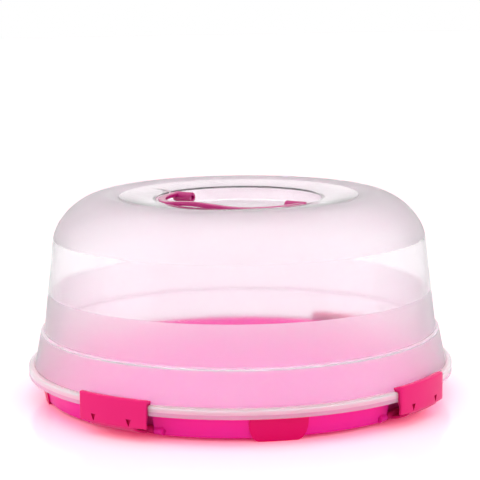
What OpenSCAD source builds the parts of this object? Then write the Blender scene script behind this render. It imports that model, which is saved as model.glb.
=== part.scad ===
/* [Base tray] */
// How far the rim stands out from the tray wall
rim_out = 8; // [6:0.1:10]
// How far the tray wall leans in from the rim down to its foot
tray_draft = 3.6; // [1:0.1:6]
// Thickness of the tray wall
tray_wall = 2.4; // [1.8:0.1:3]
// Height of the flat top of the rim, which carries the lid
rim_z = 26.5; // [25:0.1:30]
// Height of the rim, from its flat top down to where it meets the wall
rim_h = 6; // [5:0.1:6.2]
// Gap between the table and the bottom edge of the wall
wall_gap = 3; // [2:0.1:5]
// Height of the raised deck that the cake stands on
deck_z = 13.7; // [12.5:0.1:16]
// Thickness of the deck
deck_wall = 2.2; // [1.6:0.1:3]
// Width of the drip groove round the deck
groove_w = 11.8; // [6:0.2:24]
// Depth of the drip groove round the deck
groove_depth = 1.5; // [0.6:0.1:2]

/* [Feet] */
// Width of a foot
foot_w = 45; // [32:0.5:52]
// Width of each of a foot's two round bottom corners
foot_corner_w = 8.5; // [4:0.5:14]
// Height of those two corners
foot_corner_h = 14; // [6:0.5:16]
// Height of a foot
foot_h = 20.2; // [17:0.1:20.5]
// Thickness of a foot's two leaves, outside and inside the wall
foot_leaf = 1.4; // [1:0.1:2.5]
// Height of the inner leaf
foot_inner_h = 9.2; // [6:0.1:9.6]

/* [Lid] */
// Height of the top disc's outer edge
lid_top_z = 165.1; // [150:0.1:190]
// Thickness of the lid's wall
lid_wall = 1.8; // [1.4:0.1:2.4]
// Diameter of the flat polished disc on top
disc_d = 196.8; // [180:0.2:220]
// Height of the small step at the edge of that disc
disc_step = 0.6; // [0.3:0.1:1]
// How far the disc slopes down from its outer edge to the handle well
disc_dish = 2.5; // [0.5:0.1:4]
// Height where the rounded shoulder meets the wall
shoulder_z = 129.5; // [120:0.5:140]
// Slope at which the crown rises from the disc's edge before it rounds over
crown_rise = 0.42; // [0.2:0.02:0.5]
// How far the wall leans in from the ledge up to the shoulder
wall_lean = 8.6; // [5:0.1:14]
// Height of the ledge round the wall
ledge_z = 56; // [48:0.5:70]
// How far the ledge steps out
ledge_out = 2.7; // [1.5:0.1:4]
// How far the skirt leans in from the flange up to the ledge
skirt_lean = 5.6; // [3:0.1:9]
// Overall diameter, across the flange
flange_d = 350.4; // [315:0.2:385]
// Width of the flange beyond the skirt
flange_w = 5.2; // [4.6:0.1:7]
// Height of the flange, from its round bead down to its edge
flange_h = 7.9; // [6.5:0.1:9]
// Thickness of the flange where it rests on the tray's rim
seat_wall = 1.4; // [1.2:0.1:2]
// How far the round bead stands up along the flange
bead_rise = 0.7; // [0.4:0.1:1.2]
// Play between the flange and the tray's rim
lid_play = 0.8; // [0.4:0.1:1.5]

/* [Handle well] */
// Diameter of the round well at the top
well_d = 137.6; // [134:0.2:150]
// Depth of the well
well_depth = 11.6; // [10.5:0.1:15]
// How far the well's wall leans in at its floor
well_draft = 1.6; // [0.5:0.1:3]

/* [Handle] */
// Gap between the handle's strap and the well's wall
handle_gap = 2.8; // [2:0.1:5]
// Width of the strap
strap_w = 6; // [4:0.1:9]
// Thickness of the strap
strap_h = 3.6; // [2.5:0.1:5]
// How far the middle of the strap is raised
strap_rise = 3.6; // [1:0.1:6]
// Length of that raised part, seen from its side
rise_len = 90; // [60:1:110]
// Radius of the barrels that the handle turns on
barrel_r = 4.2; // [3.5:0.1:4.8]
// Length of each barrel
barrel_len = 19; // [12:0.5:26]
// Gap under the barrels
barrel_gap = 3.6; // [3:0.1:5]

/* [Clips] */
// Angle between the two front clips, and between the two back ones
clip_spread = 86.8; // [80:0.2:90]
// Width of a clip's plate
clip_w = 62; // [50:1:66]
// Width of its tongue, which reaches in to the hinge
tongue_w = 42; // [30:1:46]
// Thickness of the plate and its tongue
clip_wall = 2.6; // [2:0.1:3]
// Gap between the lid's flange and the clip's plate
clip_gap = 0.6; // [0.4:0.1:1.2]
// Gap between the lid's bead and the hook above it
hook_gap = 0.5; // [0.3:0.1:1]
// Thickness of the hook where it leaves the plate
hook_wall = 3.7; // [3:0.1:5]
// Thickness of the hook at its tip
hook_tip_wall = 1.4; // [1.3:0.1:2.4]
// How far the hook reaches in from the clip's front
hook_reach = 7.5; // [6:0.1:8.2]
// Rise of the hook's underside at its tip, so that it swings clear of the bead
hook_lift = 0.8; // [0.8:0.1:1]
// Length of the part of the underside that rises
hook_slope = 2.2; // [1.8:0.1:3]
// Radius of the rounded edge along the clip's top
clip_round = 3.4; // [2:0.1:4]
// Height at which the plate starts to bend in towards its hinge
bend_z = 13; // [12:0.5:16]
// Height of the plate's lower edge, below which only the tongue goes on
plate_z = 10.8; // [9:0.1:13]
// Size of the two small triangular pits in the plate
pit_size = 4.8; // [2:0.1:5]
// Depth of those pits
pit_depth = 1.4; // [0.6:0.1:1.8]
// Distance between those pits
pit_spread = 33; // [20:0.5:44]

/* [Clip hinges] */
// Distance of the clip's hinge in from the foot of the tray wall
hinge_in = 3; // [2.5:0.1:6]
// Height of the clip's hinge
hinge_z = 6.2; // [5.8:0.1:7.5]
// Radius of the clip's knuckle and of the bosses beside it
knuckle_r = 3; // [2.6:0.1:3.6]
// Gap between the tongue and the side of its pocket
pocket_gap = 6.2; // [2:0.1:9]
// Gap at each end of the knuckle
knuckle_gap = 0.5; // [0.3:0.1:1]
// Gap behind the knuckle in its pocket
pocket_back_gap = 1.1; // [0.6:0.1:2]
// Length of the bosses that hold the pin
boss_len = 8; // [4:0.5:10]

/* [Pins] */
// Radius of the clip pins and the handle pins
pin_r = 1.6; // [1.2:0.1:1.8]
// Running clearance round a pin where a piece turns on it
pin_play = 0.05; // [0.02:0.01:0.1]
// Length of the handle pin inside the barrel
handle_pin_grip = 16; // [8:1:18]
// Length of the boss that holds the handle pin behind the well's wall
well_boss_len = 6; // [4:0.5:10]

/* [Hidden] */
$fn = 144;

// colours
tray_pink = [0.95, 0.14, 0.53];
clip_pink = [0.91, 0.16, 0.44];
foot_red = [0.80, 0.04, 0.28];
handle_pink = [0.75, 0.12, 0.47];
lid_clear = [0.96, 0.88, 0.93, 0.55];

// directions of the feet and clips, in degrees from +X
az_right = 0;
az_back = 90;
az_left = 180;
az_front = 270;
az_back_right = az_back - clip_spread / 2;
az_back_left = az_back + clip_spread / 2;
az_front_left = az_front - clip_spread / 2;
az_front_right = az_front + clip_spread / 2;
handle_az = -45;

// joining overlap and cutting margin
weld = 0.4;
beyond = 20;

// lid
disc_r = disc_d / 2;
flange_r = flange_d / 2;
flange_in_r = flange_r - lid_wall;
skirt_r = flange_r - flange_w;
ledge_r = skirt_r - skirt_lean;
wall_foot_r = ledge_r - ledge_out;
shoulder_r = wall_foot_r - wall_lean;
flange_z = rim_z + seat_wall;
bead_z = flange_z + bead_rise;
bead_r = bead_z - rim_z + lid_wall;
flange_bottom_z = bead_z - flange_h;
crown_reach = 22;
crown_pull = 23;
wall_slope = wall_lean / (shoulder_z - ledge_z);
ledge_fillet = 1.5;
edge = 0.6;

// tray
rim_r = flange_in_r - lid_play;
rim_under_z = rim_z - rim_h;
rim_wall = 2.1;
rim_edge = 1;
rim_flare = 1.6;
tray_r = rim_r - rim_out;
tray_foot_r = tray_r - tray_draft;
lean = tray_draft / (rim_under_z - wall_gap);
function tray_out(z) = tray_foot_r + (z - wall_gap) * lean;
function tray_in(z) = tray_out(z) - tray_wall;
groove_z = deck_z - groove_depth;
groove_fillet = 2.5;
deck_r = tray_in(groove_z) - groove_fillet - groove_w - groove_depth;
deck_under_z = groove_z - deck_wall;

// handle and its well
well_r = well_d / 2;
well_top_z = lid_top_z - disc_dish;
well_floor_z = well_top_z - well_depth;
well_floor_r = well_r - well_draft;
handle_z = well_floor_z + barrel_gap + barrel_r;
strap_out = well_r - handle_gap;
strap_in = strap_out - strap_w;
barrel_in = strap_out - barrel_len;
barrel_out = strap_out - 0.8;
edge_r = 1.2;

// clips
clip_in = flange_r + clip_gap;
clip_out = clip_in + clip_wall;
hook_tip = clip_out - hook_reach;
hook_under_z = bead_z + hook_gap;
hook_tip_z = hook_under_z + hook_lift;
clip_top_z = hook_under_z + hook_wall;
hinge_x = tray_foot_r - hinge_in;
tongue_z = hinge_z - knuckle_r;
pocket_w = tongue_w + 2 * pocket_gap;
pocket_x = hinge_x - knuckle_r - pocket_back_gap;
pit_margin = 0.8;
pit_x = sqrt(clip_out * clip_out - pit_spread * pit_spread / 4) - pit_depth;

function bezier(p0, p1, p2, p3, t) =
  pow(1 - t, 3) * p0 + 3 * pow(1 - t, 2) * t * p1 + 3 * (1 - t) * t * t * p2 + pow(t, 3) * p3;

function arc(centre, r, from, to, steps) =
  [for (i = [0:steps]) let (a = from + (to - from) * i / steps) centre + r * [cos(a), sin(a)]];

// the rounded shoulder of the lid, from the disc's edge to the wall, drawn in by inset
function shoulder(inset, steps = 14) =
  let (
    p0 = [disc_r, lid_top_z - disc_step - inset],
    p3 = [shoulder_r - inset, shoulder_z],
    p1 = p0 + crown_reach * [1, crown_rise],
    p2 = p3 + crown_pull * [-wall_slope, 1]
  )
  [for (i = [0:steps]) bezier(p0, p1, p2, p3, i / steps)];

module at_side(az) {
  rotate([0, 0, az]) children();
}

module ring(points) {
  rotate_extrude() polygon(points);
}

// a bar along the tangent, at a distance from the middle and a height
module bar(x, z, r, from_y, to_y) {
  translate([x, from_y, z]) rotate([-90, 0, 0]) cylinder(r = r, h = to_y - from_y);
}

// Base tray

module tray_shell() {
  ring([
    [tray_foot_r - tray_wall, wall_gap],
    [tray_foot_r - edge, wall_gap],
    [tray_foot_r, wall_gap + edge],
    [tray_r, rim_under_z],
    [rim_r, rim_z - rim_wall - rim_flare],
    [rim_r, rim_z - rim_edge],
    [rim_r - rim_edge, rim_z],
    [tray_in(rim_z) + rim_edge, rim_z],
    [tray_in(rim_z), rim_z - rim_edge],
    [tray_in(groove_z + groove_fillet), groove_z + groove_fillet],
    [tray_in(groove_z) - 0.3 * groove_fillet, groove_z + 0.3 * groove_fillet],
    [tray_in(groove_z) - groove_fillet, groove_z],
    [deck_r + groove_depth, groove_z],
    [deck_r, deck_z],
    [0, deck_z],
    [0, deck_z - deck_wall],
    [deck_r, deck_z - deck_wall],
    [deck_r + groove_depth, deck_under_z],
    [tray_in(deck_under_z), deck_under_z]
  ]);
}

module tray_envelope() {
  ring([
    [0, wall_gap],
    [tray_foot_r - tray_wall / 2, wall_gap],
    [tray_r - tray_wall / 2, rim_under_z],
    [tray_r - tray_wall / 2, rim_under_z + rim_wall],
    [0, rim_under_z + rim_wall]
  ]);
}

module pocket_box(margin, from_z, to_z, from_x, to_x) {
  translate([from_x, -pocket_w / 2 - margin, from_z])
    cube([to_x - from_x, pocket_w + 2 * margin, to_z - from_z]);
}

module base_tray() {
  color(tray_pink)
  difference() {
    union() {
      tray_shell();
      intersection() {
        tray_envelope();
        union() {
          for (az = [az_back_right, az_back_left, az_front_left, az_front_right])
            at_side(az)
              pocket_box(tray_wall, wall_gap + weld, rim_under_z + rim_wall / 2,
                pocket_x - tray_wall, tray_r + beyond);
        }
      }
      for (az = [az_back_right, az_back_left, az_front_left, az_front_right])
        at_side(az)
          for (side = [-1, 1])
            bar(hinge_x, hinge_z, knuckle_r,
              side > 0 ? pocket_w / 2 + weld : -pocket_w / 2 - boss_len,
              side > 0 ? pocket_w / 2 + boss_len : -pocket_w / 2 - weld);
    }
    for (az = [az_back_right, az_back_left, az_front_left, az_front_right])
      at_side(az) {
        pocket_box(0, wall_gap - beyond, rim_under_z - weld, pocket_x, tray_r + beyond);
        bar(hinge_x, hinge_z, pin_r, -pocket_w / 2 - boss_len - weld, pocket_w / 2 + boss_len + weld);
      }
  }
}

// Feet, pushed on the wall's bottom edge

module foot_face(from_x, to_x) {
  steps = 10;
  corner = [for (i = [0:steps])
    [foot_w / 2 - foot_corner_w * (1 - sin(90 * i / steps)), foot_corner_h * (1 - cos(90 * i / steps))]];
  translate([from_x, 0, 0]) rotate([90, 0, 90]) linear_extrude(to_x - from_x)
    polygon(concat(
      corner,
      [[foot_w / 2, foot_h], [-foot_w / 2, foot_h]],
      [for (i = [steps:-1:0]) [-corner[i][0], corner[i][1]]]
    ));
}

module foot(az) {
  seat = 0.05;
  inner_r = tray_in(wall_gap) - seat;
  outer_r = tray_foot_r - wall_gap * lean + foot_leaf;
  top_r = tray_out(foot_h) + foot_leaf;
  color(foot_red)
  at_side(az)
    intersection() {
      ring([
        [inner_r - foot_leaf, 0],
        [outer_r - edge, 0],
        [outer_r + edge * lean, edge],
        [top_r - edge * lean, foot_h - edge],
        [top_r - edge, foot_h],
        [tray_out(foot_h) + seat, foot_h],
        [tray_out(wall_gap) + seat, wall_gap],
        [inner_r, wall_gap],
        [inner_r, foot_inner_h],
        [inner_r - foot_leaf, foot_inner_h]
      ]);
      foot_face(inner_r - foot_leaf - beyond, tray_r + beyond);
    }
}

// Clips

// the bend from the plate to the tongue, drawn in by inset from the clip's outside
function bend(inset, steps = 8) =
  let (
    p0 = [clip_out - inset, bend_z],
    p3 = [hinge_x + knuckle_r, tongue_z + inset],
    drop = (p0[1] - p3[1]) / 2,
    p1 = p0 - [0, drop],
    p2 = p3 + [0.5 * (p0[0] - p3[0]), 0.3 * drop]
  )
  [for (i = [0:steps]) bezier(p0, p1, p2, p3, i / steps)];

module clip_profile() {
  inner = bend(clip_wall);
  polygon(concat(
    [[hinge_x, tongue_z + clip_wall], [hinge_x, tongue_z]],
    [for (i = [8:-1:0]) bend(0)[i]],
    arc([clip_out - clip_round, clip_top_z - clip_round], clip_round, 0, 90, 6),
    [
      [hook_tip + edge, hook_tip_z + hook_tip_wall],
      [hook_tip, hook_tip_z + hook_tip_wall - edge / 2],
      [hook_tip, hook_tip_z + edge / 2],
      [hook_tip + edge / 2, hook_tip_z],
      [hook_tip + hook_slope, hook_under_z],
      [clip_in - edge, hook_under_z],
      [clip_in, hook_under_z - edge]
    ],
    inner
  ));
}

module pit() {
  half = pit_size / 2;
  translate([pit_x, 0, plate_z + pit_size / 2 + pit_margin])
    rotate([90, 0, 90]) linear_extrude(beyond)
      polygon([[-half, half], [half, half], [0, -half]]);
}

module clip(az) {
  knuckle = pocket_w / 2 - knuckle_gap;
  color(clip_pink)
  at_side(az)
    difference() {
      union() {
        intersection() {
          rotate_extrude() clip_profile();
          union() {
            translate([0, -clip_w / 2, plate_z]) cube([clip_out + beyond, clip_w, clip_top_z]);
            translate([0, -tongue_w / 2, 0]) cube([clip_out + beyond, tongue_w, plate_z + weld]);
          }
        }
        bar(hinge_x, hinge_z, knuckle_r, -knuckle, knuckle);
      }
      bar(hinge_x, hinge_z, pin_r + pin_play, -knuckle - weld, knuckle + weld);
      for (side = [-1, 1])
        translate([0, side * pit_spread / 2, 0]) pit();
    }
}

module clip_pin(az) {
  color(tray_pink)
  at_side(az)
    bar(hinge_x, hinge_z, pin_r, -pocket_w / 2 - boss_len, pocket_w / 2 + boss_len);
}

// Lid

function disc_z(r) = lid_top_z - disc_dish * (disc_r - r) / (disc_r - well_r);

function lid_outside() = concat(
  [[0, well_floor_z], [well_floor_r - edge_r, well_floor_z], [well_floor_r, well_floor_z + edge_r]],
  [[well_r - 0.2, well_top_z - edge_r]],
  arc([well_r + edge_r - 0.2, well_top_z - edge_r], edge_r, 180, 90, 4),
  [[disc_r - 0.4, lid_top_z], [disc_r, lid_top_z - disc_step]],
  shoulder(0),
  [[wall_foot_r, ledge_z + ledge_fillet], [ledge_r - edge, ledge_z], [ledge_r, ledge_z - 1]],
  [[skirt_r, flange_z]],
  [[skirt_r + 0.5, flange_z + 0.3]],
  arc([flange_r - bead_r, bead_z - bead_r], bead_r, 90, 0, 7),
  [[flange_r, flange_bottom_z + 0.5], [flange_r - 0.5, flange_bottom_z]]
);

function lid_inside() = concat(
  [[flange_in_r, flange_bottom_z], [flange_in_r, rim_z - 1.2], [flange_in_r - 1, rim_z]],
  [[skirt_r - lid_wall, rim_z]],
  [[ledge_r - lid_wall, ledge_z - 1.6], [ledge_r - lid_wall - edge, ledge_z - lid_wall]],
  [[wall_foot_r - lid_wall, ledge_z + ledge_fillet - lid_wall]],
  [for (i = [14:-1:1]) shoulder(lid_wall)[i]],
  [[disc_r, lid_top_z - disc_step - lid_wall]],
  [[well_r + lid_wall, disc_z(well_r + lid_wall) - lid_wall]],
  [[well_floor_r + lid_wall, well_floor_z - 0.8], [well_floor_r + lid_wall - 1, well_floor_z - lid_wall]],
  [[0, well_floor_z - lid_wall]]
);

module handle_axis(x_from, x_to, r) {
  translate([x_from, 0, handle_z]) rotate([0, 90, 0]) cylinder(r = r, h = x_to - x_from);
}

module lid() {
  boss_in = well_floor_r + 0.6;
  boss_out = well_r + lid_wall + well_boss_len;
  color(lid_clear)
  difference() {
    union() {
      ring(concat(lid_outside(), lid_inside()));
      rotate([0, 0, handle_az])
        for (turn = [0, 180])
          rotate([0, 0, turn])
            difference() {
              handle_axis(boss_in, boss_out, pin_r + lid_wall);
              ring([
                [0, well_floor_z],
                [well_floor_r, well_floor_z],
                [well_r, well_top_z],
                [0, well_top_z]
              ]);
            }
    }
    rotate([0, 0, handle_az])
      for (turn = [0, 180])
        rotate([0, 0, turn]) handle_axis(boss_in - beyond, boss_out - 1, pin_r);
  }
}

// Handle, folded down in its well

function rise(s) = abs(s) < rise_len / 2 ? strap_rise * (1 + cos(360 * s / rise_len)) / 2 : 0;

module strap_side() {
  steps = 24;
  s_at = [for (i = [0:steps]) rise_len * (i / steps - 0.5)];
  polygon(concat(
    [[-strap_out, strap_h], [-strap_out, 0]],
    [for (s = s_at) [s, rise(s)]],
    [[strap_out, 0], [strap_out, strap_h]],
    [for (i = [steps:-1:0]) [s_at[i], rise(s_at[i]) + strap_h]]
  ));
}

module handle() {
  color(handle_pink)
  rotate([0, 0, handle_az])
    difference() {
      union() {
        intersection() {
          translate([0, 0, handle_z])
            rotate([0, 0, 180]) rotate_extrude(angle = 180)
              translate([strap_in, 0]) square([strap_w, strap_h + strap_rise]);
          translate([0, 0, handle_z]) rotate([90, 0, 0])
            linear_extrude(strap_out + beyond) strap_side();
        }
        handle_axis(barrel_in, barrel_out, barrel_r);
        handle_axis(-barrel_out, -barrel_in, barrel_r);
      }
      handle_axis(barrel_in - 1, well_r, pin_r + pin_play);
      handle_axis(-well_r, 1 - barrel_in, pin_r + pin_play);
    }
}

module handle_pin(turn) {
  pin_in = barrel_out - handle_pin_grip;
  pin_out = well_r + lid_wall + well_boss_len - 1;
  color(handle_pink)
  rotate([0, 0, handle_az + turn]) handle_axis(pin_in, pin_out, pin_r);
}

base_tray();
foot(az_front);  // foot_front
foot(az_right);  // foot_right
foot(az_back);  // foot_back
foot(az_left);  // foot_left
clip(az_front_right);  // clip_front_right
clip(az_back_right);  // clip_back_right
clip(az_back_left);  // clip_back_left
clip(az_front_left);  // clip_front_left
clip_pin(az_front_right);  // clip_pin_front_right
clip_pin(az_back_right);  // clip_pin_back_right
clip_pin(az_back_left);  // clip_pin_back_left
clip_pin(az_front_left);  // clip_pin_front_left
lid();
handle();
handle_pin(0);  // handle_pin_front
handle_pin(180);  // handle_pin_back
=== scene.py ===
import math
import bpy
from mathutils import Matrix, Vector


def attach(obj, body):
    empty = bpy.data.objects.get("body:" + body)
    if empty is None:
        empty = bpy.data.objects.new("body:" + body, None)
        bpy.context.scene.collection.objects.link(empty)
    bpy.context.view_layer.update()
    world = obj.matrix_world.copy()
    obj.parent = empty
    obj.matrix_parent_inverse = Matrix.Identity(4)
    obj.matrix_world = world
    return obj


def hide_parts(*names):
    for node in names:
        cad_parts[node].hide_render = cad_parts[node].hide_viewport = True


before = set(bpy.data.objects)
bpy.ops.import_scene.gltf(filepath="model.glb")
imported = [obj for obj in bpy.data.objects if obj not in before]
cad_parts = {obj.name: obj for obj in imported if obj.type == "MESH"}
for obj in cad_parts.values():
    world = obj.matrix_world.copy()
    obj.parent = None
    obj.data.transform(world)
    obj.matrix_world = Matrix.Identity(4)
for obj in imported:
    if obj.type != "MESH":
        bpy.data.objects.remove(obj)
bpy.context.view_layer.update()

mm = 0.001

# Lengths in the dictionaries are in mm, angles in degrees

clipSides = dict(back_right=46.6, back_left=133.4, front_left=226.6, front_right=313.4)
footSides = dict(right=0, back=90, left=180, front=270)

# Modelling helpers


def pick(*pieces):
    if bpy.context.object and bpy.context.object.mode != "OBJECT":
        bpy.ops.object.mode_set(mode="OBJECT")
    bpy.ops.object.select_all(action="DESELECT")
    for piece in pieces:
        piece.select_set(True)
    bpy.context.view_layer.objects.active = pieces[0]


def softOutline(corners, steps=5):
    # each corner is x, z and, where it is rounded, a radius
    points = []
    for i, corner in enumerate(corners):
        here = Vector(corner[:2])
        if len(corner) < 3:
            points.append(tuple(here))
            continue
        back = Vector(corners[i - 1][:2]) - here
        ahead = Vector(corners[(i + 1) % len(corners)][:2]) - here
        reach = min(corner[2] / math.tan(back.angle(ahead) / 2), 0.48 * back.length, 0.48 * ahead.length)
        a = here + back.normalized() * reach
        b = here + ahead.normalized() * reach
        for k in range(steps + 1):
            t = k / steps
            points.append(tuple((1 - t) ** 2 * a + 2 * t * (1 - t) * here + t * t * b))
    return points


def outlineLoop(name, points, turn=0):
    bpy.ops.object.select_all(action="DESELECT")
    bpy.ops.mesh.primitive_circle_add(vertices=len(points), radius=0.01, fill_type="NOTHING")
    piece = bpy.context.active_object
    piece.name = name
    a = math.radians(turn)
    for vertex, (r, z) in zip(piece.data.vertices, points):
        vertex.co = (r * mm * math.cos(a), r * mm * math.sin(a), z * mm)
    return piece


def tidyShell():
    bpy.ops.mesh.select_all(action="SELECT")
    bpy.ops.mesh.remove_doubles(threshold=2e-6)
    bpy.ops.mesh.delete_loose()
    bpy.ops.mesh.select_all(action="SELECT")
    bpy.ops.mesh.normals_make_consistent(inside=False)
    bpy.ops.object.mode_set(mode="OBJECT")


def turned(name, points, steps=192):
    piece = outlineLoop(name, points)
    bpy.ops.object.mode_set(mode="EDIT")
    bpy.ops.mesh.select_all(action="SELECT")
    bpy.ops.mesh.spin(steps=steps, angle=math.tau, center=(0, 0, 0), axis=(0, 0, 1))
    tidyShell()
    return piece


def turnedPart(name, points, half, steps):
    # a part of a turn, from half to -half degrees about the X axis
    piece = outlineLoop(name, points, half)
    bpy.ops.object.mode_set(mode="EDIT")
    bpy.ops.mesh.select_all(action="SELECT")
    bpy.ops.mesh.edge_face_add()
    bpy.ops.mesh.spin(steps=steps, angle=math.radians(2 * half), center=(0, 0, 0), axis=(0, 0, 1))
    bpy.ops.mesh.select_all(action="SELECT")
    tidyShell()
    return piece


def inset(points, depth):
    # the outline drawn in by depth, for outlines that run clockwise or the other way
    area = sum(a[0] * b[1] - b[0] * a[1] for a, b in zip(points, points[1:] + points[:1]))
    turn = depth if area > 0 else -depth
    result = []
    for i, point in enumerate(points):
        here = Vector(point)
        back = (here - Vector(points[i - 1])).normalized()
        ahead = (Vector(points[(i + 1) % len(points)]) - here).normalized()
        along = (back + ahead).normalized()
        result.append(tuple(here + turn * Vector((-along.y, along.x)) / max(along.dot(ahead), 0.5)))
    return result


def loft(name, sections):
    # a closed solid through outlines of equally many points
    count = len(sections[0])
    bpy.ops.object.select_all(action="DESELECT")
    bpy.ops.mesh.primitive_grid_add(x_subdivisions=count, y_subdivisions=len(sections) - 1, size=1)
    piece = bpy.context.active_object
    piece.name = name
    row = count + 1
    for i, vertex in enumerate(piece.data.vertices):
        vertex.co = Vector(sections[i // row][i % row % count]) * mm
    bpy.ops.object.mode_set(mode="EDIT")
    bpy.ops.mesh.select_all(action="SELECT")
    bpy.ops.mesh.remove_doubles(threshold=2e-6)
    bpy.ops.mesh.select_all(action="DESELECT")
    bpy.ops.mesh.select_non_manifold()
    bpy.ops.mesh.fill_holes(sides=0)
    tidyShell()
    return piece


def curvedBar(name, points, half, edge, steps=16, endSteps=4):
    # an outline bent round the carrier's axis, from y -half to half, with rounded ends
    stations = [-half + edge * (1 - math.cos(math.radians(90 * k / endSteps))) for k in range(endSteps + 1)]
    stations += [(-half + edge) + 2 * (half - edge) * k / steps for k in range(1, steps)]
    stations += [-y for y in reversed(stations[:endSteps + 1])]
    sections = []
    for y in stations:
        past = max(0, abs(y) - half + edge) / edge
        section = inset(points, edge * (1 - math.sqrt(1 - min(past, 1) ** 2)))
        sections.append([(math.sqrt(r * r - y * y), y, z) for r, z in section])
    return loft(name, sections)


def block(name, low, high):
    bpy.ops.object.select_all(action="DESELECT")
    bpy.ops.mesh.primitive_cube_add(size=1)
    piece = bpy.context.active_object
    piece.name = name
    for vertex in piece.data.vertices:
        for k in range(3):
            vertex.co[k] = (high[k] if vertex.co[k] > 0 else low[k]) * mm
    return piece


def rod(name, start, end, radius, sides=48):
    bpy.ops.object.select_all(action="DESELECT")
    run = Vector(end) - Vector(start)
    bpy.ops.mesh.primitive_cylinder_add(vertices=sides, radius=radius * mm, depth=run.length * mm)
    piece = bpy.context.active_object
    piece.name = name
    middle = (Vector(start) + Vector(end)) / 2 * mm
    piece.matrix_world = Matrix.Translation(middle) @ run.to_track_quat("Z", "Y").to_matrix().to_4x4()
    settle(piece)
    return piece


def settle(piece):
    pick(piece)
    bpy.ops.object.transform_apply(location=True, rotation=True, scale=True)


def prism(name, points, depth):
    # an outline given across and up, that runs outwards along X
    piece = outlineLoop(name, points)
    bpy.ops.object.mode_set(mode="EDIT")
    bpy.ops.mesh.select_all(action="SELECT")
    bpy.ops.mesh.edge_face_add()
    bpy.ops.mesh.extrude_region_move(TRANSFORM_OT_translate=dict(value=(0, depth * mm, 0)))
    tidyShell()
    piece.matrix_world = Matrix.Rotation(math.radians(-90), 4, "Z")
    settle(piece)
    return piece


def cut(piece, tool, operation="DIFFERENCE"):
    pick(piece)
    step = piece.modifiers.new("cut", "BOOLEAN")
    step.operation = operation
    step.solver = "EXACT"
    step.object = tool
    bpy.ops.object.modifier_apply(modifier=step.name)
    bpy.data.objects.remove(tool, do_unlink=True)


def smooth(piece, angle=32):
    pick(piece)
    bpy.ops.object.shade_smooth_by_angle(angle=math.radians(angle))


def copyAt(piece, name, azimuth):
    pick(piece)
    bpy.ops.object.duplicate()
    twin = bpy.context.active_object
    twin.name = name
    twin.matrix_world = Matrix.Rotation(math.radians(azimuth), 4, "Z")
    settle(twin)
    return twin


def hand(piece, body, materials, node):
    for material in materials:
        piece.data.materials.append(material)
    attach(piece, body)
    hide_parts(node)


# Node helpers


def newMaterial(name):
    material = bpy.data.materials.new(name)
    material.use_nodes = True
    return material, material.node_tree, material.node_tree.nodes["Principled BSDF"]


def addNode(tree, kind, **values):
    node = tree.nodes.new(kind)
    for key, value in values.items():
        setattr(node, key, value)
    return node


def mathNode(tree, operation, a, b):
    node = addNode(tree, "ShaderNodeMath", operation=operation)
    for socket, value in zip(node.inputs, (a, b)):
        if isinstance(value, (int, float)):
            socket.default_value = value
        else:
            tree.links.new(value, socket)
    return node.outputs[0]


def makeGrainGroup():
    tree = bpy.data.node_groups.new("mouldGrain", "ShaderNodeTree")
    for name, value in (("Grain Size", 900.0), ("Cloud Size", 9.0)):
        tree.interface.new_socket(name, in_out="INPUT", socket_type="NodeSocketFloat").default_value = value
    for name in ("Height", "Cloud"):
        tree.interface.new_socket(name, in_out="OUTPUT", socket_type="NodeSocketFloat")
    inside = tree.nodes.new("NodeGroupInput")
    outside = tree.nodes.new("NodeGroupOutput")
    place = tree.nodes.new("ShaderNodeTexCoord")
    for scale, detail, result in (("Grain Size", 3, "Height"), ("Cloud Size", 2, "Cloud")):
        noise = tree.nodes.new("ShaderNodeTexNoise")
        noise.inputs["Detail"].default_value = detail
        tree.links.new(place.outputs["Object"], noise.inputs["Vector"])
        tree.links.new(inside.outputs[scale], noise.inputs["Scale"])
        tree.links.new(noise.outputs[0], outside.inputs[result])
    return tree


def tintFromCloud(tree, shader, cloud, light, deep):
    tint = addNode(tree, "ShaderNodeMix", data_type="RGBA")
    tint.inputs[6].default_value = (*light, 1)
    tint.inputs[7].default_value = (*deep, 1)
    tree.links.new(cloud, tint.inputs[0])
    tree.links.new(tint.outputs[2], shader.inputs["Base Color"])


def bumpFrom(tree, shader, height, strength, distance):
    bump = tree.nodes.new("ShaderNodeBump")
    bump.inputs["Strength"].default_value = strength
    bump.inputs["Distance"].default_value = distance * mm
    tree.links.new(height, bump.inputs["Height"])
    tree.links.new(bump.outputs[0], shader.inputs["Normal"])


pinkFinish = dict(
    tray=dict(light=(0.90, 0.018, 0.32), deep=(0.86, 0.012, 0.28), rough=0.30, glow=0.30, shine=0.14),
    # the deck colour is a lighter, more violet copy of the tray plastic, painted light for what reaches the deck
    # through the lid
    deck=dict(light=(0.95, 0.065, 0.50), deep=(0.91, 0.050, 0.45), rough=0.36, glow=0.30, shine=0.20),
    shade=dict(light=(0.60, 0.004, 0.14), deep=(0.55, 0.003, 0.12), rough=0.36, glow=0.20, shine=0.10),
    clip=dict(light=(0.73, 0.014, 0.160), deep=(0.66, 0.009, 0.135), rough=0.30, glow=0.12, shine=0.14),
    # the pit colour is a darker copy of the clip plastic, painted shade for the pits' hollows
    pit=dict(light=(0.50, 0.002, 0.06), deep=(0.45, 0.002, 0.05), rough=0.40, glow=0.10, shine=0.10),
    foot=dict(light=(0.77, 0.001, 0.130), deep=(0.71, 0.001, 0.115), rough=0.34, glow=0.10, shine=0.12),
    handle=dict(light=(0.42, 0.008, 0.155), deep=(0.35, 0.006, 0.12), rough=0.18, glow=0.20, shine=0.50),
)


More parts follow.
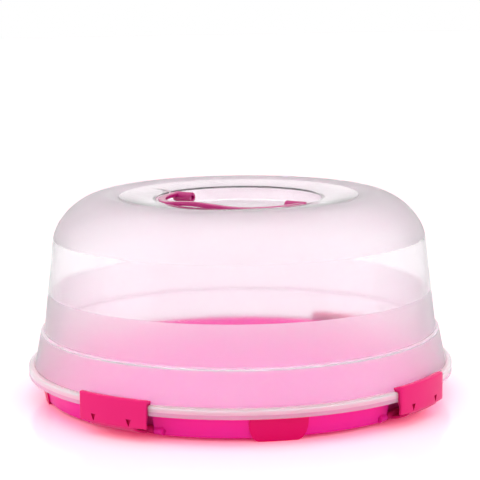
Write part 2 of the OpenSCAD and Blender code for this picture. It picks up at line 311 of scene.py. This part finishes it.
def makePinkPlastic(key, grain):
    v = pinkFinish[key]
    material, tree, shader = newMaterial(key + "Plastic")
    marks = addNode(tree, "ShaderNodeGroup", node_tree=grain)
    marks.inputs["Grain Size"].default_value = 700
    marks.inputs["Cloud Size"].default_value = 14
    tintFromCloud(tree, shader, marks.outputs["Cloud"], v["light"], v["deep"])
    worn = mathNode(tree, "MULTIPLY", marks.outputs["Cloud"], 0.08)
    tree.links.new(mathNode(tree, "ADD", worn, v["rough"] - 0.04), shader.inputs["Roughness"])
    bumpFrom(tree, shader, marks.outputs["Height"], 0.12, 0.2)
    shader.inputs["IOR"].default_value = 1.49
    shader.inputs["Specular IOR Level"].default_value = v["shine"]
    shader.inputs["Subsurface Weight"].default_value = v["glow"]
    shader.inputs["Subsurface Radius"].default_value = (1.0, 0.25, 0.45)
    shader.inputs["Subsurface Scale"].default_value = 6 * mm
    return material


# clear is how much of the light goes straight through
lidFinish = dict(
    polished=dict(light=(0.985, 0.970, 0.985), deep=(0.98, 0.962, 0.976), rough=0.10, clear=0.96, grain=0.02),
    frosted=dict(light=(1.0, 0.962, 1.0), deep=(0.996, 0.952, 0.992), rough=0.42, clear=0.82, grain=0.10),
    flange=dict(light=(1.0, 0.96, 1.0), deep=(1.0, 0.94, 1.0), rough=0.20, clear=0.62, grain=0.04),
    flangeFoot=dict(light=(1.0, 0.66, 0.86), deep=(1.0, 0.60, 0.82), rough=0.24, clear=0.66, grain=0.04),
    disc=dict(light=(1.0, 0.998, 1.0), deep=(1.0, 0.994, 1.0), rough=0.08, clear=0.97, grain=0.02),
)


def makeLidPlastic(key, grain):
    v = lidFinish[key]
    material, tree, shader = newMaterial("lidPlastic" + key.title())
    marks = addNode(tree, "ShaderNodeGroup", node_tree=grain)
    marks.inputs["Grain Size"].default_value = 1400
    marks.inputs["Cloud Size"].default_value = 7
    tintFromCloud(tree, shader, marks.outputs["Cloud"], v["light"], v["deep"])
    bumpFrom(tree, shader, marks.outputs["Height"], v["grain"], 0.1)
    shader.inputs["Roughness"].default_value = v["rough"]
    shader.inputs["Transmission Weight"].default_value = v["clear"]
    shader.inputs["IOR"].default_value = 1.3
    shader.inputs["Subsurface Weight"].default_value = 1.0
    shader.inputs["Subsurface Radius"].default_value = (1.0, 0.9, 0.95)
    shader.inputs["Subsurface Scale"].default_value = 5 * mm
    return material


# The pieces


lidShape = dict(
    wall=1.8,
    top=165.1,  # height of the top disc's outer edge
    discR=98.4,
    discStep=0.6,
    shoulder=(153.1, 129.5),  # radius and height where the shoulder meets the wall
    crownReach=22,
    crownRise=0.42,
    crownPull=23,
    shoulderSteps=48,
    wallFoot=(161.7, 56),
    ledgeR=164.4,
    skirtFoot=(170, 27.9),
    beadZ=28.6,
    flangeR=175.2,
    flangeBottom=20.7,
    rimSeat=26.5,
    wellR=68.8,
    wellTop=162.6,
    wellFloorR=67.2,
    wellFloor=151.0,
    wellEdge=1.2,
    bossR=3.4,
    bossOut=76.6,
    boreIn=50,
    polishedBand=(88.4, 132),  # the wall is polished between these heights
    flangeTop=29.2,
    flangeFoot=24.0,  # below this height the flange is painted pinker, standing in for the tray seen through it
    ledgeHighlightReach=1.3,  # the painted highlight along the ledge, in the milkier flange plastic, reaches this far above and below it
)


def makeLid():
    s = lidShape
    discR, top, step, wall = s["discR"], s["top"], s["discStep"], s["wall"]
    shoulderR, shoulderZ = s["shoulder"]
    footR, ledgeZ = s["wallFoot"]
    skirtR, skirtZ = s["skirtFoot"]
    slope = (footR - shoulderR) / (shoulderZ - ledgeZ)

    def shoulder(depth, steps):
        p0 = Vector((discR, top - step - depth))
        p3 = Vector((shoulderR - depth, shoulderZ))
        p1 = p0 + s["crownReach"] * Vector((1, s["crownRise"]))
        p2 = p3 + s["crownPull"] * Vector((-slope, 1))
        points = []
        for i in range(steps + 1):
            t = i / steps
            p = (1 - t) ** 3 * p0 + 3 * (1 - t) ** 2 * t * p1 + 3 * (1 - t) * t * t * p2 + t ** 3 * p3
            points.append(tuple(p))
        return points

    def onWall(z):
        # radius of the wall's outside at height z
        return shoulderR + (shoulderZ - z) * slope

    bandFoot, bandTop = s["polishedBand"]
    rim = s["flangeR"] - wall
    beadR = s["beadZ"] - s["rimSeat"] + wall
    outside = [
        (0, s["wellFloor"]),
        (s["wellFloorR"], s["wellFloor"], 1.6),
        (s["wellR"] - 0.2, s["wellTop"], s["wellEdge"]),
        (discR - 0.1, top, 0.3),
        (discR, top - step, 0.2),
        *shoulder(0, s["shoulderSteps"])[1:],
        (onWall(bandFoot), bandFoot),
        (footR, ledgeZ, 1.4),
        (s["ledgeR"], ledgeZ, 0.7),
        (skirtR, skirtZ, 0.6),
        (skirtR + 1.0, s["beadZ"], 0.5),
        (s["flangeR"], s["beadZ"], beadR),
        (s["flangeR"], s["flangeFoot"]),
        (s["flangeR"], s["flangeBottom"], 0.5),
    ]
    inside = [
        (rim, s["flangeBottom"], 0.4),
        (rim, s["rimSeat"], 1.0),
        (skirtR - wall, s["rimSeat"], 0.3),
        (s["ledgeR"] - wall, ledgeZ - wall, 0.6),
        (footR - wall, ledgeZ - wall, 1.4),
        (onWall(bandFoot) - wall, bandFoot),
        *reversed(shoulder(wall, s["shoulderSteps"])[1:]),
        (discR, top - step - wall, 0.5),
        (s["wellR"] + wall, s["wellTop"] + 0.15 - wall, 0.5),
        (s["wellFloorR"] + wall, s["wellFloor"] - wall, 1.2),
        (0, s["wellFloor"] - wall),
    ]
    lid = turned("lidShell", softOutline(outside + inside), 256)
    axisZ = handleShape["axisZ"]
    a = math.radians(handleShape["azimuth"])
    for side in (1, -1):
        along = Vector((side * math.cos(a), side * math.sin(a), 0))
        up = Vector((0, 0, axisZ))
        cut(lid, rod("boss", along * (s["wellR"] + wall / 2) + up, along * s["bossOut"] + up, s["bossR"]), "UNION")
        cut(lid, rod("bore", along * s["boreIn"] + up, along * (s["bossOut"] - 1) + up, handleShape["pinR"]))
    smooth(lid)
    for face in lid.data.polygons:
        height = face.center.z / mm
        outside = face.center.xy.length / mm > discR - 0.5
        if not outside:
            finish = "disc"
        elif height < s["flangeFoot"]:
            finish = "flangeFoot"
        # the faces along the ledge get the milkier flange plastic, a painted highlight line
        elif height < s["flangeTop"] or abs(height - ledgeZ) < s["ledgeHighlightReach"]:
            finish = "flange"
        elif height > bandTop or height < bandFoot:
            finish = "frosted"
        else:
            finish = "polished"
        face.material_index = list(lidFinish).index(finish)
    return lid


trayShape = dict(
    footR=161,
    gap=3,
    wall=2.4,
    underRim=(164.6, 20.5),
    rimR=172.6,
    rimTop=26.5,
    rimWall=2.1,
    deckR=144.7,
    shadeZ=18.0,  # from this height up the wall lies in the shade of the lid's flange
    shadeOver=0.3,  # the shade ends this far above the rim's underside
    outerSkin=0.6,  # faces this near the wall's outside belong to it
    deckOver=0.4,  # the deck's painted-light colour starts this far above the groove's underside
    deck=13.7,
    deckWall=2.2,
    groove=12.2,
    pocketHalf=27.2,
    pocketBack=153.9,
    pocketTop=20.1,
    pocketRoof=1.3,
    reach=200,  # tools run out to here, well clear of the tray
    bossLength=8,
    bossR=3.0,
)


def makeTray():
    s = trayShape
    wall, gap = s["wall"], s["gap"]
    rimInR, underZ = s["underRim"]
    lean = (rimInR - s["footR"]) / (underZ - gap)

    def outer(z):
        return s["footR"] + (z - gap) * lean

    def inner(z):
        return outer(z) - wall

    underGroove = s["groove"] - s["deckWall"]
    corners = [
        (inner(gap), gap, 0.3),
        (s["footR"], gap, 0.6),
        (outer(s["shadeZ"]), s["shadeZ"]),
        (rimInR, underZ, 0.5),
        (s["rimR"], s["rimTop"] - s["rimWall"] - 1.6, 0.6),
        (s["rimR"], s["rimTop"], 1.1),
        (inner(s["rimTop"]), s["rimTop"], 1.1),
        (inner(s["groove"]), s["groove"], 2.4),
        (s["deckR"] + 1.5, s["groove"], 0.8),
        (s["deckR"], s["deck"], 0.8),
        (0, s["deck"]),
        (0, s["deck"] - s["deckWall"]),
        (s["deckR"], s["deck"] - s["deckWall"], 0.6),
        (s["deckR"] + 1.5, underGroove, 0.6),
        (inner(underGroove), underGroove, 0.6),
    ]
    tray = turned("trayShell", softOutline(corners))
    half, back, length = s["pocketHalf"], s["pocketBack"], s["bossLength"]
    x, z = clipShape["hinge"]
    for azimuth in clipSides.values():
        turn = Matrix.Rotation(math.radians(azimuth), 4, "Z")
        housing = block("housing", (back - wall, -half - wall, gap + 0.5),
                        (s["reach"], half + wall, s["pocketTop"] + s["pocketRoof"]))
        envelope = turned("envelope", [
            (100, gap - 2), (s["footR"] - wall / 2, gap - 2), (rimInR - wall / 2, underZ),
            (rimInR - wall / 2, underZ + 3), (100, underZ + 3)])
        cut(housing, envelope, "INTERSECT")
        housing.matrix_world = turn
        settle(housing)
        cut(tray, housing, "UNION")
        for side in (1, -1):
            boss = rod("boss", (x, side * (half + 0.4), z), (x, side * (half + length), z), s["bossR"])
            boss.matrix_world = turn
            settle(boss)
            cut(tray, boss, "UNION")
        pocket = block("pocket", (back, -half, -10), (s["reach"], half, s["pocketTop"]))
        pocket.matrix_world = turn
        settle(pocket)
        cut(tray, pocket)
        bore = rod("bore", (x, -half - length - 1, z), (x, half + length + 1, z), clipShape["pinR"])
        bore.matrix_world = turn
        settle(bore)
        cut(tray, bore)
    smooth(tray)
    # the finishes are the plain tray, the deck inside it, painted lighter and more violet for the light it gets through
    # the lid, and painted shade under the flange
    for face in tray.data.polygons:
        radius, height = face.center.xy.length / mm, face.center.z / mm
        if radius > outer(height) - s["outerSkin"]:
            face.material_index = 2 if s["shadeZ"] < height < underZ + s["shadeOver"] else 0
        else:
            face.material_index = 1 if height > underGroove + s["deckOver"] else 0
    return tray


clipShape = dict(
    width=62,
    tongueWidth=42,
    hinge=(158, 6.2),
    knuckleR=3.0,
    knuckleHalf=26.7,
    pinR=1.6,
    play=0.05,
    wall=2.6,
    outer=178.4,
    top=32.8,
    hookTip=170.9,
    hookWall=3.7,
    hookTipWall=1.4,
    hookLift=0.8,  # the underside rises by this much towards the tip
    hookSlope=2.2,
    bend=13,  # height where the plate starts to bend in to its hinge
    plateBottom=10.8,
    pitSize=4.8,
    pitHeight=5.6,
    pitDepth=1.4,
    pitAside=16.5,
    pitMargin=0.8,  # from the pit's point down to the plate's lower edge
    sideEdge=0.65,
    tongueEdge=0.9,
    skin=0.12,  # the tongue lies this far inside the plate where they meet
)


def makeClip():
    s = clipShape
    x, z = s["hinge"]
    outer, wall, top, bend, bottom = s["outer"], s["wall"], s["top"], s["bend"], s["plateBottom"]
    inner = outer - wall
    tip, under = s["hookTip"], top - s["hookWall"]
    tipZ = under + s["hookLift"]
    low = z - s["knuckleR"]

    def tongueCurve(depth, steps=14):
        p0 = Vector((outer - depth, bend))
        p3 = Vector((x + s["knuckleR"], low + depth))
        drop = (p0.y - p3.y) / 2
        p1 = p0 - Vector((0, drop))
        p2 = p3 + Vector((0.5 * (p0.x - p3.x), 0.3 * drop))
        points = []
        for i in range(steps + 1):
            t = i / steps
            p = (1 - t) ** 3 * p0 + 3 * (1 - t) ** 2 * t * p1 + 3 * (1 - t) * t * t * p2 + t ** 3 * p3
            points.append(tuple(p))
        return points

    clip = curvedBar("clipPlate", softOutline([
        (inner - 0.4, bottom, 0.6),
        (outer - 0.3, bottom, 0.8),
        (outer, bend, 3),
        (outer, top, 3.2),
        (outer - 3.4, top, 1.2),
        (tip, tipZ + s["hookTipWall"], 0.6),
        (tip, tipZ, 0.4),
        (tip + s["hookSlope"], under, 0.4),
        (inner, under, 1.0),
        (inner, bend, 2.2),
    ]), s["width"] / 2, s["sideEdge"])
    skin = s["skin"]
    tongue = curvedBar("tongue", [
        (x, low + wall - skin), (x, low + skin), *reversed(tongueCurve(skin)), (outer - skin, bend + 3),
        (inner + skin, bend + 3), *tongueCurve(wall - skin)], s["tongueWidth"] / 2, s["tongueEdge"])
    cut(clip, tongue, "UNION")
    half = s["knuckleHalf"]
    cut(clip, rod("knuckle", (x, -half, z), (x, half, z), s["knuckleR"]), "UNION")
    cut(clip, rod("bore", (x, -half - 1, z), (x, half + 1, z), s["pinR"] + s["play"]))
    across, up, aside = s["pitSize"] / 2, s["pitHeight"] / 2, s["pitAside"]
    for side in (1, -1):
        pit = prism("pit", [(-across, up), (across, up), (0, -up)], 10)
        floorX = math.sqrt(outer ** 2 - aside ** 2) - s["pitDepth"]
        pit.location = Vector((floorX, side * aside, bottom + up + s["pitMargin"])) * mm
        settle(pit)
        cut(clip, pit)
    smooth(clip)
    # the pits' own faces lie between the plate's inside and outside, within the triangles; they get the darker pit
    # colour, painted shade for the hollows
    for face in clip.data.polygons:
        place = face.center / mm
        sunk = inner + 0.15 < place.xy.length < outer - 0.25
        beside = abs(abs(place.y) - aside) < across
        face.material_index = int(sunk and beside and bottom + 0.4 < place.z < bend + 5)
    return clip


footShape = dict(
    width=45,
    cornerWidth=8.5,
    cornerHeight=14,
    top=20.2,
    leaf=1.4,
    innerTop=9.2,
)


def makeFoot():
    s = footShape
    t = trayShape
    gap, wall, leaf, top = t["gap"], t["wall"], s["leaf"], s["top"]
    lean = (t["underRim"][0] - t["footR"]) / (t["underRim"][1] - gap)
    seat = 0.05

    def outer(z):
        return t["footR"] + (z - gap) * lean

    innerR = outer(gap) - wall - seat
    foot = turnedPart("foot", softOutline([
        (innerR - leaf, 0, 0.5), (outer(0) + leaf, 0, 0.5), (outer(top) + leaf, top, 0.6), (outer(top) + seat, top),
        (outer(gap) + seat, gap), (innerR, gap), (innerR, s["innerTop"], 0.3),
        (innerR - leaf, s["innerTop"], 0.6)]), 12, 36)
    half, steps = s["width"] / 2, 16
    corner = []
    for i in range(steps + 1):
        a = math.radians(90 * i / steps)
        corner.append((half - s["cornerWidth"] * (1 - math.sin(a)), s["cornerHeight"] * (1 - math.cos(a)) - 1e-3))
    face = [*corner, (half, top + 1), (-half, top + 1), *((-across, up) for across, up in reversed(corner))]
    cut(foot, prism("face", face, 200), "INTERSECT")
    smooth(foot)
    return foot


handleShape = dict(
    axisZ=158.8,
    azimuth=-45,
    outer=66,
    inner=60,
    thick=3.6,
    corner=1.2,
    rise=3.6,  # how far the middle of the strap is raised
    riseLength=90,
    strapSteps=96,
    barrelR=4.2,
    barrelIn=47,
    barrelOut=65.2,
    barrelEdge=0.9,
    boreOut=70,
    pinR=1.6,
    play=0.05,
)


def makeHandle():
    s = handleShape
    corner = s["corner"]
    outline = softOutline([
        (s["inner"], 0, corner), (s["outer"], 0, corner), (s["outer"], s["thick"], corner),
        (s["inner"], s["thick"], corner)], 4)

    def raised(along):
        turn = min(abs(along) / s["riseLength"], 0.5)
        return s["rise"] * (1 + math.cos(math.tau * turn)) / 2

    sections = []
    steps = s["strapSteps"]
    for k in range(steps + 1):
        a = math.radians(-90 + 180 * k / steps)
        sections.append([(r * math.sin(a), -r * math.cos(a), z + raised(r * math.sin(a))) for r, z in outline])
    handle = loft("handleStrap", sections)
    r, edge = s["barrelR"], s["barrelEdge"]
    for side in (1, -1):
        barrel = turned("barrel", softOutline([
            (0, s["barrelIn"]), (r, s["barrelIn"], edge), (r, s["barrelOut"], edge), (0, s["barrelOut"])]), 64)
        barrel.matrix_world = Matrix.Rotation(math.radians(side * 90), 4, "Y")
        settle(barrel)
        cut(handle, barrel, "UNION")
        cut(handle, rod("bore", (side * (s["barrelIn"] - 1), 0, 0), (side * s["boreOut"], 0, 0), s["pinR"] + s["play"]))
    handle.matrix_world = (Matrix.Translation((0, 0, s["axisZ"] * mm))
                           @ Matrix.Rotation(math.radians(s["azimuth"]), 4, "Z"))
    settle(handle)
    smooth(handle)
    return handle


# Floor, light and camera


studio = dict(
    floorSize=14,  # metres
    floorColor=(0.93, 0.915, 0.925),
    floorRough=0.14,
    # the floor's painted pink glow, seen only by the camera
    paintedGlowTint=(1.0, 0.0, 0.14),
    paintedGlowStrength=0.55,
    skyStrength=1.13,
    sideLampPower=5.0,
    sideLampSize=(0.9, 1.3),
    topLampPower=4.0,
    topLampSize=1.6,
    turn=-10,  # the side lamps stand square to the camera
)


def makeStudio():
    material, tree, shader = newMaterial("floorWhite")
    shader.inputs["Base Color"].default_value = (*studio["floorColor"], 1)
    shader.inputs["Roughness"].default_value = studio["floorRough"]
    shader.inputs["IOR"].default_value = 1.35
    # painted pink light over the whole floor, seen only by the camera, for the tray's pink light on the floor; it shows
    # only where the floor isn't white already
    seen = tree.nodes.new("ShaderNodeLightPath").outputs["Is Camera Ray"]
    shader.inputs["Emission Color"].default_value = (*studio["paintedGlowTint"], 1)
    tree.links.new(mathNode(tree, "MULTIPLY", seen, studio["paintedGlowStrength"]), shader.inputs["Emission Strength"])
    bpy.ops.object.select_all(action="DESELECT")
    bpy.ops.mesh.primitive_plane_add(size=studio["floorSize"])
    floor = bpy.context.active_object
    floor.name = "floor"
    floor.data.materials.append(material)
    world = bpy.data.worlds.new("studio")
    bpy.context.scene.world = world
    world.use_nodes = True
    tree = world.node_tree
    sky = tree.nodes["Background"]
    # the sky itself looks plain white, and lights the rest a little more strongly
    path = tree.nodes.new("ShaderNodeLightPath")
    seen = mathNode(tree, "MAXIMUM", path.outputs["Is Camera Ray"], path.outputs["Is Glossy Ray"])
    seen = mathNode(tree, "MAXIMUM", seen, path.outputs["Is Transmission Ray"])
    strength = tree.nodes.new("ShaderNodeMapRange")
    strength.inputs["To Min"].default_value = studio["skyStrength"]
    strength.inputs["To Max"].default_value = 1.0
    tree.links.new(seen, strength.inputs["Value"])
    sky.inputs["Color"].default_value = (1, 1, 1, 1)
    tree.links.new(strength.outputs[0], sky.inputs["Strength"])
    turn = Matrix.Rotation(math.radians(studio["turn"]), 3, "Z")
    for side in (-1, 1):
        lamp = addLamp("softbox", studio["sideLampPower"], studio["sideLampSize"],
                       turn @ Vector((side * 1.3, -0.55, 0.55)), Vector((0, 0, 0.09)))
        lamp.visible_glossy = False
    size = studio["topLampSize"]
    addLamp("topLight", studio["topLampPower"], (size, size), Vector((0, 0.1, 1.5)), Vector((0, 0, 0)))


def addLamp(name, power, size, place, target):
    data = bpy.data.lights.new(name, "AREA")
    data.shape = "RECTANGLE"
    data.size, data.size_y = size
    data.energy = power
    lamp = bpy.data.objects.new(name, data)
    bpy.context.scene.collection.objects.link(lamp)
    aim = (target - place).to_track_quat("-Z", "Y").to_matrix().to_4x4()
    lamp.matrix_world = Matrix.Translation(place) @ aim
    return lamp


cameraView = dict(
    azimuth=-10,  # degrees round the carrier from its front foot
    distance=1402.6,  # level distance from the middle
    height=352,
    pitch=9.13,
    roll=-0.57,
    lens=129.15,
    shiftX=0.0019,
)


def makeCamera():
    bpy.context.scene.view_settings.view_transform = "Standard"
    v = cameraView
    a = math.radians(v["azimuth"])
    eye = Vector((v["distance"] * math.sin(a), -v["distance"] * math.cos(a), v["height"])) * mm
    data = bpy.data.cameras.new("camera")
    data.sensor_width = 36
    data.lens = v["lens"]
    data.shift_x = v["shiftX"]
    data.clip_end = 50
    camera = bpy.data.objects.new("camera", data)
    bpy.context.scene.collection.objects.link(camera)
    turn = Matrix.Rotation(a, 4, "Z") @ Matrix.Rotation(math.radians(90 - v["pitch"]), 4, "X")
    camera.matrix_world = Matrix.Translation(eye) @ turn @ Matrix.Rotation(math.radians(v["roll"]), 4, "Z")
    bpy.context.scene.camera = camera


grain = makeGrainGroup()
pink = {key: makePinkPlastic(key, grain) for key in pinkFinish}
clear = [makeLidPlastic(key, grain) for key in lidFinish]
print("materials made")

lid = makeLid()
lid.visible_shadow = False  # light falls through the clear plastic
hand(lid, "lid", clear, "lid")
print("lid made")
hand(makeTray(), "base", [pink["tray"], pink["deck"], pink["shade"]], "base_tray")
print("tray made")
clip = makeClip()
for side, azimuth in clipSides.items():
    hand(copyAt(clip, "clip", azimuth), "clip_" + side, [pink["clip"], pink["pit"]], "clip_" + side)
bpy.data.objects.remove(clip, do_unlink=True)
print("clips made")
foot = makeFoot()
for side, azimuth in footSides.items():
    hand(copyAt(foot, "foot", azimuth), "base", [pink["foot"]], "foot_" + side)
bpy.data.objects.remove(foot, do_unlink=True)
print("feet made")
hand(makeHandle(), "handle", [pink["handle"]], "handle")
print("handle made")

for node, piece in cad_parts.items():
    if node.startswith("clip_pin"):
        piece.data.materials.clear()
        piece.data.materials.append(pink["tray"])
    if node.startswith("handle_pin"):
        piece.data.materials.clear()
        piece.data.materials.append(pink["handle"])
print("pins coloured")

makeStudio()
makeCamera()
print("studio and camera made")
